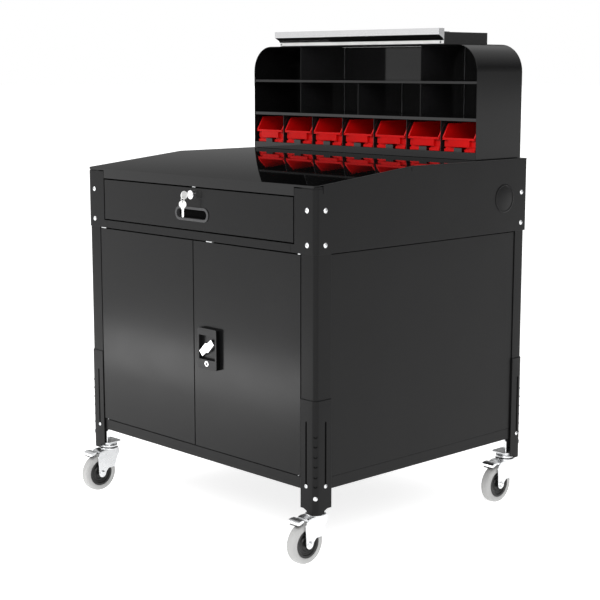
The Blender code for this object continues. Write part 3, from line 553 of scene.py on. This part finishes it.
def fork(corner):
    """Pressed fork: tapered cheeks with a boss at the axle, under a round crown and race."""
    low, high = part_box("caster_wheel_" + corner)
    wheel = (low + high) / 2
    x = wheel.x
    y = wheel.y + WHEEL_LEAD
    axle_y, axle_z = wheel.y, wheel.z
    bm = bmesh.new()
    outline = arc((axle_y, axle_z), 0.0112, 175, 345, 14)
    outline += [(axle_y + 0.0135, axle_z + 0.0040), (y - 0.0150, 0.0610)]
    outline += arc((y - 0.0040, 0.0720), 0.0120, -60, -20, 4)
    outline += [(y + 0.0150, 0.0900), (y + 0.0205, 0.0990), (y + 0.0220, 0.1060),
                (y + 0.0200, 0.1105), (y - 0.0300, 0.1105), (y - 0.0400, 0.1085),
                (y - 0.0470, 0.1030), (y - 0.0495, 0.0960), (y - 0.0492, 0.0860)]
    for side in (-1, 1):
        faces = sorted((x + side * CHEEK_IN, x + side * CHEEK_OUT))
        prism(bm, outline, "YZ", *faces)
        face = x + side * CHEEK_OUT
        boss = [(0.0, 0.0), (0.0088, 0.0), (0.0080, BOSS_HEIGHT), (0.0, BOSS_HEIGHT)]
        lathe(bm, boss, (face, axle_y, axle_z), (side, 0, 0), 28)
    roof = [(y + 0.0205, 0.1080), (y + 0.0215, 0.1105), (y + 0.0190, 0.1125),
            (y - 0.0300, 0.1125), (y - 0.0410, 0.1100), (y - 0.0400, 0.1085),
            (y - 0.0300, 0.1103)]
    prism(bm, roof, "YZ", x - 0.0190, x + 0.0190)
    crown = [(0.0062, 0.1110), (0.0242, 0.1110), (0.0250, 0.1122), (0.0250, 0.1140),
             (0.0240, 0.1152), (0.0226, 0.1158), (0.0222, 0.1172), (0.0232, 0.1180),
             (0.0238, 0.1192), (0.0238, 0.1222), (0.0230, 0.1234), (0.0215, 0.1238),
             (0.0062, 0.1238)]
    lathe(bm, crown, (x, y, 0.0), (0, 0, 1), 48)
    body = "swivel_" + corner
    piece("fork_" + corner, bm, ZINC, body, replaces=("caster_fork_" + corner,),
          bevel=0.0005)

    bm = bmesh.new()
    seal = [(0.0205, 0.1162), (0.0231, 0.1162), (0.0234, 0.1166), (0.0231, 0.1172),
            (0.0205, 0.1172)]
    lathe(bm, seal, (x, y, 0.0), (0, 0, 1), 40)
    piece("swivel_seal_" + corner, bm, HUB, body)

    bm = bmesh.new()
    lathe(bm, [(0.0, -0.0190), (AXLE_RADIUS, -0.0190), (AXLE_RADIUS, 0.0190), (0.0, 0.0190)],
          (x, axle_y, axle_z), (1, 0, 0), 20)
    for side in (-1, 1):
        base = CHEEK_OUT + BOSS_HEIGHT
        washer = [(0.0, base), (0.0072, base), (0.0072, base + WASHER), (0.0, base + WASHER)]
        lathe(bm, washer, (x, axle_y, axle_z), (side, 0, 0), 24)
        head = [(0.0, base + WASHER), (0.0060, base + WASHER), (0.0060, base + 0.0040),
                (0.0053, base + 0.0046), (0.0, base + 0.0046)]
        lathe(bm, head, (x, axle_y, axle_z), (side, 0, 0), 6)
    piece("axle_bolt_" + corner, bm, ZINC, body, bevel=0.0003)


def pedal(corner):
    """Brake pedal: a pressed plate with a turned-down front edge, and a black shoe under it."""
    low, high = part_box("caster_pedal_" + corner)
    x = (low.x + high.x) / 2
    front, back, top = low.y, high.y, high.z
    half = (high.x - low.x) / 2
    thick = 0.0016
    bm = bmesh.new()
    upper = [(back - 0.0010, top - 0.0003), (front + 0.0120, top), (front + 0.0045, top - 0.0012),
             (front + 0.0010, top - 0.0042), (front, top - 0.0100)]
    lower = [(front + thick, top - 0.0104), (front + 0.0026, top - 0.0050),
             (front + 0.0052, top - 0.0030), (front + 0.0122, top - thick),
             (back - 0.0010, top - thick - 0.0003)]
    prism(bm, upper + lower, "YZ", x - half, x + half)
    skirt = [(back - 0.0035, top - 0.0045), (back - 0.0045, top - 0.0010),
             (front + 0.0120, top - 0.0008), (front + 0.0048, top - 0.0022),
             (front + 0.0016, top - 0.0050), (front + 0.0006, top - 0.0098),
             (front + 0.0040, top - 0.0105), (front + 0.0110, top - 0.0080)]
    for side in (-1, 1):
        faces = sorted((x + side * half, x + side * (half - thick)))
        prism(bm, skirt, "YZ", *faces)
    body = "pedal_" + corner
    piece("pedal_" + corner, bm, ZINC, body, replaces=("caster_pedal_" + corner,),
          bevel=0.0005)
    bm = bmesh.new()
    shoe = [(front + 0.0026, top - 0.0075), (front + 0.0032, top - 0.0142),
            (front + 0.0060, top - 0.0156), (front + 0.0130, top - 0.0102),
            (front + 0.0150, top - 0.0025), (front + 0.0060, top - 0.0036)]
    prism(bm, shoe, "YZ", x - 0.0145, x + 0.0145)
    piece("brake_shoe_" + corner, bm, HUB, body, bevel=0.0006)


for corner in CORNERS:
    tyre_and_hub(corner)
    fork(corner)
    pedal(corner)


# ---------------------------------------------------------------- bins
BIN_LIP = 0.972
BIN_WALL = 0.0016
BIN_STEP = 0.0115
BIN_RIM = 0.0040


def hopper(index):
    """Hopper bin: thin walls, a broad rim, a front panel between two recesses, and runners."""
    node = f"bin_{index}"
    low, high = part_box(node)
    x0, x1 = low.x, high.x
    front, rear = low.y, high.y
    floor, top = low.z, high.z
    lip = BIN_LIP
    wall = BIN_WALL
    base = floor + BIN_STEP
    bm = bmesh.new()
    inset = 0.0014
    side_outline = [
        (front + 0.0076, base), (rear - 0.0045, base), (rear - 0.0008, top - 0.0010),
        (front + 0.0216, top - 0.0010), (front + 0.0006, lip - 0.0010),
        (front + 0.0006, lip - 0.0050), (front + 0.0076, lip - 0.0050),
    ]
    for side, edge in ((1, x0 + inset), (-1, x1 - inset)):
        prism(bm, side_outline, "YZ", *sorted((edge, edge + side * wall)))
    a, b = x0 + inset + wall * 0.5, x1 - inset - wall * 0.5
    slab(bm, (a, front + 0.0076, base), (b, rear - 0.0045, base + wall))
    back = [(rear - 0.0045, base), (rear - 0.0008, top - 0.0012), (rear - 0.0026, top - 0.0012),
            (rear - 0.0063, base + 0.0008)]
    prism(bm, back, "YZ", a, b)
    slab(bm, (a, front + 0.0076, base + 0.0004), (b, front + 0.0092, lip - 0.0020))
    panel = [(front + 0.0014, base + 0.0006), (front + 0.0082, base + 0.0006),
             (front + 0.0082, lip - 0.0050), (front + 0.0006, lip - 0.0050)]
    prism(bm, panel, "YZ", x0 + 0.0190, x1 - 0.0190)

    # Rims along the front, the sloped sides and the back
    rim_front = [(front, lip - 0.0058), (front + 0.0090, lip - 0.0058),
                 (front + 0.0090, lip - 0.0012), (front + 0.0034, lip), (front, lip)]
    prism(bm, rim_front, "YZ", x0, x1)
    for edge in (x0, x1 - BIN_RIM):
        strip = [(front, lip - 0.0030), (front, lip), (front + 0.022, top), (rear, top),
                 (rear, top - 0.0024), (front + 0.0230, top - 0.0024)]
        prism(bm, strip, "YZ", edge, edge + BIN_RIM)
    prism(bm, [(rear - 0.0035, top - 0.0025), (rear, top - 0.0025), (rear, top),
               (rear - 0.0035, top)], "YZ", x0, x1)

    # Two stacking runners under the floor, each with a groove
    middle = (x0 + x1) / 2
    for near, far in ((x0 + 0.0030, middle - 0.0165), (middle + 0.0165, x1 - 0.0030)):
        slab(bm, (near + 0.0015, front + 0.0085, floor + 0.0060),
             (far - 0.0015, rear - 0.0050, base + 0.0004))
        slab(bm, (near, front + 0.0045, floor), (far, rear - 0.0050, floor + 0.0070))
    piece("hopper_" + str(index), bm, RED, node, replaces=(node,), bevel=0.0005)


for index in range(1, 8):
    hopper(index)


# ---------------------------------------------------------------- light
VISOR_LOW, VISOR_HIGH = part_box("light_visor")
LENS_LOW, LENS_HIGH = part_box("light_lens")
STRIP_Y = LENS_LOW.y + 0.0018
KINK_LEFT = -0.110
# A matt black sheet under the visor: painted shade in the hood. Its lower strip starts at
# KINK_LEFT and leaves the bare aluminium to the left of it.
bm = bmesh.new()
under = [(VISOR_LOW.y + 0.0014, 1.2322), (VISOR_LOW.y + 0.0014, 1.2318),
         (STRIP_Y - 0.0074, 1.2250), (STRIP_Y - 0.0072, 1.2254)]
prism(bm, under, "YZ", VISOR_LOW.x + 0.0015, VISOR_HIGH.x - 0.0015)
kink = [(STRIP_Y - 0.0068, 1.2253), (STRIP_Y - 0.0073, 1.2251), (STRIP_Y - 0.0026, 1.2191),
        (STRIP_Y - 0.0022, 1.2193)]
prism(bm, kink, "YZ", KINK_LEFT, VISOR_HIGH.x - 0.0015)
piece("visor_shade", bm, PAINTED_SHADE, "cart")

bm = bmesh.new()
for x in (LENS_LOW.x + 0.0055, LENS_HIGH.x - 0.0105):
    dome(bm, (x, LENS_LOW.y, (LENS_LOW.z + LENS_HIGH.z) / 2), (0, -1, 0), 0.0028, 0.0014, 0.0012)
piece("lens_screws", bm, STEEL_DARK, "cart")

# Lighter grey strips at the back of the upper dividers: painted highlights on their edges
DIVIDER_X = 0.2262
FLANGED = (("riser_insert_top", (-DIVIDER_X, DIVIDER_X)),
           ("riser_insert_mid", (-DIVIDER_X, 0.0, DIVIDER_X)))
bm = bmesh.new()
for node, dividers in FLANGED:
    low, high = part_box(node)
    for x in dividers:
        slab(bm, (x + 0.0008, high.y - 0.0012, low.z + 0.0085),
             (x + 0.0040, high.y - 0.0006, high.z - 0.0010))
piece("divider_highlight_strips", bm, HIGHLIGHT_GREY, "cart")

# ---------------------------------------------------------------- latch lock
LATCH_X = (TRAY_LOW.x + TRAY_HIGH.x) / 2
HANDLE_LOW, HANDLE_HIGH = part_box("latch_handle")
CYLINDER_Z = (HANDLE_LOW.z + HANDLE_HIGH.z) / 2 - 0.040
CYLINDER = (LATCH_X, TRAY_LOW.y, CYLINDER_Z)
CORE_RADIUS = 0.0044
bm = bmesh.new()
barrel = [(0.0, -0.0060), (0.0070, -0.0060), (0.0070, 0.0010), (0.0062, 0.0018),
          (0.0048, 0.0018), (CORE_RADIUS, 0.0012), (0.0, 0.0012)]
lathe(bm, barrel, CYLINDER, (0, -1, 0), 32)
piece("latch_cylinder", bm, CHROME, "door_r")
bm = bmesh.new()
lathe(bm, [(0.0, 0.0008), (CORE_RADIUS, 0.0008), (CORE_RADIUS, 0.0013), (0.0, 0.0013)],
      CYLINDER, (0, -1, 0), 28)
piece("latch_core", bm, STEEL_DARK, "door_r")
# A black bar on the lock's core: painted shade in the keyway.
bm = bmesh.new()
slab(bm, (LATCH_X - 0.0005, TRAY_LOW.y - 0.0016, CYLINDER_Z - 0.0030),
     (LATCH_X + 0.0005, TRAY_LOW.y - 0.0011, CYLINDER_Z + 0.0030))
piece("latch_keyway", bm, HUB, "door_r", bevel=0.0001)

# ---------------------------------------------------------------- drawer pull, lock and keys
PULL_LOW, PULL_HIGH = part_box("drawer_pull")
# A matt black plate inside the pull's cup: painted shade.
bm = bmesh.new()
middle_z = (PULL_LOW.z + PULL_HIGH.z) / 2
PULL_RIM = 0.0064
reach = (PULL_HIGH.x - PULL_LOW.x) / 2 - PULL_RIM
rise = (PULL_HIGH.z - PULL_LOW.z) / 2 - PULL_RIM
cup = (arc((reach - rise, middle_z), rise, -90, 90, 10)
       + arc((rise - reach, middle_z), rise, 90, 270, 10))
prism(bm, cup, "XZ", PULL_HIGH.y - 0.0042, PULL_HIGH.y - 0.0034)
piece("pull_shade", bm, PAINTED_SHADE, "drawer")

LOCK_LOW, LOCK_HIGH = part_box("drawer_lock")
LOCK_Z = (LOCK_LOW.z + LOCK_HIGH.z) / 2
bm = bmesh.new()
TONGUE_HALF, TONGUE_TIP_HALF = 0.0060, 0.0045
tongue = [(-TONGUE_HALF, LOCK_Z), (TONGUE_HALF, LOCK_Z), (TONGUE_HALF, LOCK_Z + 0.0215),
          (TONGUE_TIP_HALF, LOCK_Z + 0.0234), (-TONGUE_TIP_HALF, LOCK_Z + 0.0234),
          (-TONGUE_HALF, LOCK_Z + 0.0215)]
prism(bm, tongue, "XZ", FRONT + 0.0048, FRONT + 0.0062)
piece("lock_tongue", bm, ZINC, "drawer_key", bevel=0.0003)


KEY_HALF = 0.0007
BOW, HALF_BLADE = 0.0104, 0.0032
SPARE_BOW, SPARE_HALF_BLADE = 0.0094, 0.0028
SPARE_TURN = math.radians(-50.0)
RING, WIRE = 0.0056, 0.00055


def key(bm, centre, tip, bow, half_blade, thick):
    """Adds a flat key in a Y-Z plane: round bow, shoulder and toothed blade."""
    cy, cz = centre
    along = Vector((tip[0] - cy, tip[1] - cz)).normalized()
    across = Vector((-along.y, along.x))
    length = (Vector(tip) - Vector(centre)).length
    angle = math.degrees(math.atan2(along.y, along.x))
    spread_angle = math.degrees(math.asin(half_blade * 1.5 / bow))
    points = arc(centre, bow, angle + spread_angle, angle + 360 - spread_angle, 34)
    shape = [(bow * 1.12, -1.45), (bow * 1.30, -1.30), (bow * 1.32, -1.0)]
    teeth = 6
    blade = length - bow * 1.32
    for k in range(teeth):
        reach = bow * 1.40 + blade * 0.9 * k / teeth
        shape += [(reach, -1.0), (reach + blade * 0.05, -0.45 - 0.15 * (k % 2)),
                  (reach + blade * 0.10, -1.0)]
    shape += [(length - half_blade * 0.7, -0.9), (length, -0.1), (length, 0.15),
              (length - half_blade * 0.6, 0.9), (bow * 1.32, 1.0), (bow * 1.30, 1.30),
              (bow * 1.12, 1.45)]
    for reach, offset in shape:
        spot = Vector(centre) + along * reach + across * offset * half_blade
        points.append((spot.x, spot.y))
    prism(bm, points, "YZ", -thick, thick)


def key_piece(name, node, body, centre, tip, hole, bow, half_blade, turn=0.0,
              extra=None):
    """Finishes one key, turned about the upright line through its hole."""
    line = Matrix.Translation((0.0, hole[0], 0.0))
    turn = line @ Matrix.Rotation(turn, 4, "Z") @ line.inverted()
    bm = bmesh.new()
    key(bm, centre, tip, bow, half_blade, KEY_HALF)
    for side in (-1, 1):
        ring = [(bow * 0.80, KEY_HALF), (bow * 0.84, 0.0011), (bow * 0.94, 0.0011),
                (bow * 0.98, KEY_HALF)]
        lathe(bm, ring, (0.0, *centre), (side, 0, 0), 36)
        eyelet = [(0.0020, KEY_HALF), (0.0020, 0.00095), (0.0030, 0.00095),
                  (0.0032, KEY_HALF)]
        lathe(bm, eyelet, (0.0, *hole), (side, 0, 0), 20)
    bm.transform(turn)
    if extra:
        extra(bm)
    piece(name, bm, NICKEL, body, replaces=(node,), bevel=0.0002)
    # A matt black disc in each key's hole: painted shade.
    bm = bmesh.new()
    lathe(bm, [(0.0, -0.00085), (0.0019, -0.00085), (0.0019, 0.00085), (0.0, 0.00085)],
          (0.0, *hole), (1, 0, 0), 20)
    bm.transform(turn)
    piece(name + "_hole_shade", bm, PAINTED_SHADE, body)


KEY_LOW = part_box("drawer_key")[0]
bow_at = (KEY_LOW.y + 0.0105, LOCK_Z)
hole_at = (bow_at[0] - 0.0050, LOCK_Z - 0.0055)
key_piece("key_in_lock", "drawer_key", "drawer_key", bow_at, (FRONT + 0.004, LOCK_Z), hole_at,
          BOW, HALF_BLADE)

SPARE_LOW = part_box("key_spare")[0]
spare_bow = (hole_at[0], hole_at[1] - 0.0165)


def split_ring(bm):
    """Two turns of flat wire through both bows."""
    for offset in (-0.00045, 0.00045):
        centre = Vector((0.0, hole_at[0] + offset, hole_at[1] - RING))
        loop = []
        for k in range(28):
            turn = 2 * math.pi * k / 28
            loop.append(centre + Vector((RING * math.cos(turn), 0.0, RING * math.sin(turn))))
        tube(bm, loop, WIRE, 8, closed=True)


key_piece("hanging_key", "key_spare", "spare_key", spare_bow,
          (hole_at[0], SPARE_LOW.z + 0.0060), (spare_bow[0], spare_bow[1] + 0.0062),
          SPARE_BOW, SPARE_HALF_BLADE, SPARE_TURN, split_ring)

# ---------------------------------------------------------------- studio
floor_mat, nodes, links, shader = principled("studio_floor", (0.80, 0.80, 0.80), 0.9,
                                             specular=0.1)
links.new(blend_colours(nodes, links, noise(nodes, links, 0.6), (0.79, 0.79, 0.79),
                        (0.81, 0.81, 0.81)), shader.inputs["Base Color"])
shader.inputs["Emission Color"].default_value = (1.0, 1.0, 1.0, 1.0)
shader.inputs["Emission Strength"].default_value = FLOOR_GLOW
bm = bmesh.new()
bmesh.ops.create_circle(bm, cap_ends=True, segments=96, radius=FLOOR_RADIUS)
floor_mesh = bpy.data.meshes.new("studio_floor")
bm.to_mesh(floor_mesh)
bm.free()
floor_mesh.materials.append(floor_mat)
floor = bpy.data.objects.new("studio_floor", floor_mesh)
floor.location.z = -0.0002
bpy.context.scene.collection.objects.link(floor)

world = bpy.data.worlds.new("studio")
bpy.context.scene.world = world
world.use_nodes = True
nodes, links = world.node_tree.nodes, world.node_tree.links


def combine(operation, first, second):
    """Math node on two sockets or numbers."""
    node = nodes.new("ShaderNodeMath")
    node.operation = operation
    for socket, value in zip(node.inputs, (first, second)):
        if isinstance(value, float):
            socket.default_value = value
        else:
            links.new(value, socket)
    return node.outputs["Value"]


def ramp_between(value, start, stop, low, high):
    """Maps a value from start..stop to low..high."""
    node = nodes.new("ShaderNodeMapRange")
    limits = {"From Min": start, "From Max": stop, "To Min": low, "To Max": high}
    for name, number in limits.items():
        node.inputs[name].default_value = number
    links.new(value, node.inputs["Value"])
    return node.outputs["Result"]


def blend(factor, first, second):
    """Mixes two sockets or numbers."""
    node = nodes.new("ShaderNodeMix")
    node.data_type = "FLOAT"
    for name, value in (("Factor", factor), ("A", first), ("B", second)):
        if isinstance(value, float):
            node.inputs[name].default_value = value
        else:
            links.new(value, node.inputs[name])
    return node.outputs["Result"]


# Walls of the studio: bright at the front left, dim behind the cart, with a bright ceiling
place = nodes.new("ShaderNodeTexCoord")
split = nodes.new("ShaderNodeSeparateXYZ")
links.new(place.outputs["Generated"], split.inputs["Vector"])
walls = combine("ADD", combine("MULTIPLY", split.outputs["X"], WALL_TO_RIGHT),
                combine("MULTIPLY", split.outputs["Y"], WALL_TO_REAR))
walls = combine("ADD", walls, WALL_LEVEL)
walls = combine("MULTIPLY", walls, ramp_between(split.outputs["Z"], 0.04, 0.19, 1.0, 0.52))
level = blend(ramp_between(split.outputs["Z"], 0.25, 0.60, 0.0, 1.0), walls, CEILING)
seen = nodes.new("ShaderNodeLightPath")
level = blend(seen.outputs["Is Camera Ray"], level, 1.0)
background = nodes["Background"]
links.new(level, background.inputs["Strength"])
background.inputs["Color"].default_value = (1.0, 1.0, 1.0, 1.0)


def softbox(name, at, aim, size, power):
    """Rectangular light aimed at a point."""
    lamp = bpy.data.lights.new(name, "AREA")
    lamp.shape = "RECTANGLE"
    lamp.size, lamp.size_y = size
    lamp.energy = power
    obj = bpy.data.objects.new(name, lamp)
    obj.location = at
    obj.rotation_euler = (Vector(aim) - Vector(at)).to_track_quat("-Z", "Y").to_euler()
    obj.visible_camera = False
    bpy.context.scene.collection.objects.link(obj)


CART_MIDDLE = (0.0, 0.0, 0.6)
softbox("key_light", (-1.8, -3.2, 3.2), CART_MIDDLE, (2.0, 2.0), 48.0)
softbox("front_right_light", (2.6, -2.4, 2.4), CART_MIDDLE, (1.6, 1.6), 48.0)
softbox("low_strip", (-1.10, -1.245, 0.115), (-1.10, 0.0, 0.115), (1.30, 0.15), 2.3)

SENSOR = 36.0
FOCAL = 1426.7 / 600.0
CAMERA_AT = (2.7344, -2.5794, 1.1487)
CAMERA_TILT, CAMERA_HEADING = math.radians(90.0 - 9.235), math.radians(46.524)
camera_data = bpy.data.cameras.new("camera")
camera_data.sensor_width = SENSOR
camera_data.lens = FOCAL * SENSOR
camera = bpy.data.objects.new("camera", camera_data)
camera.location = CAMERA_AT
camera.rotation_euler = (CAMERA_TILT, 0.0, CAMERA_HEADING)
bpy.context.scene.collection.objects.link(camera)
bpy.context.scene.camera = camera
bpy.context.scene.view_settings.view_transform = "Standard"
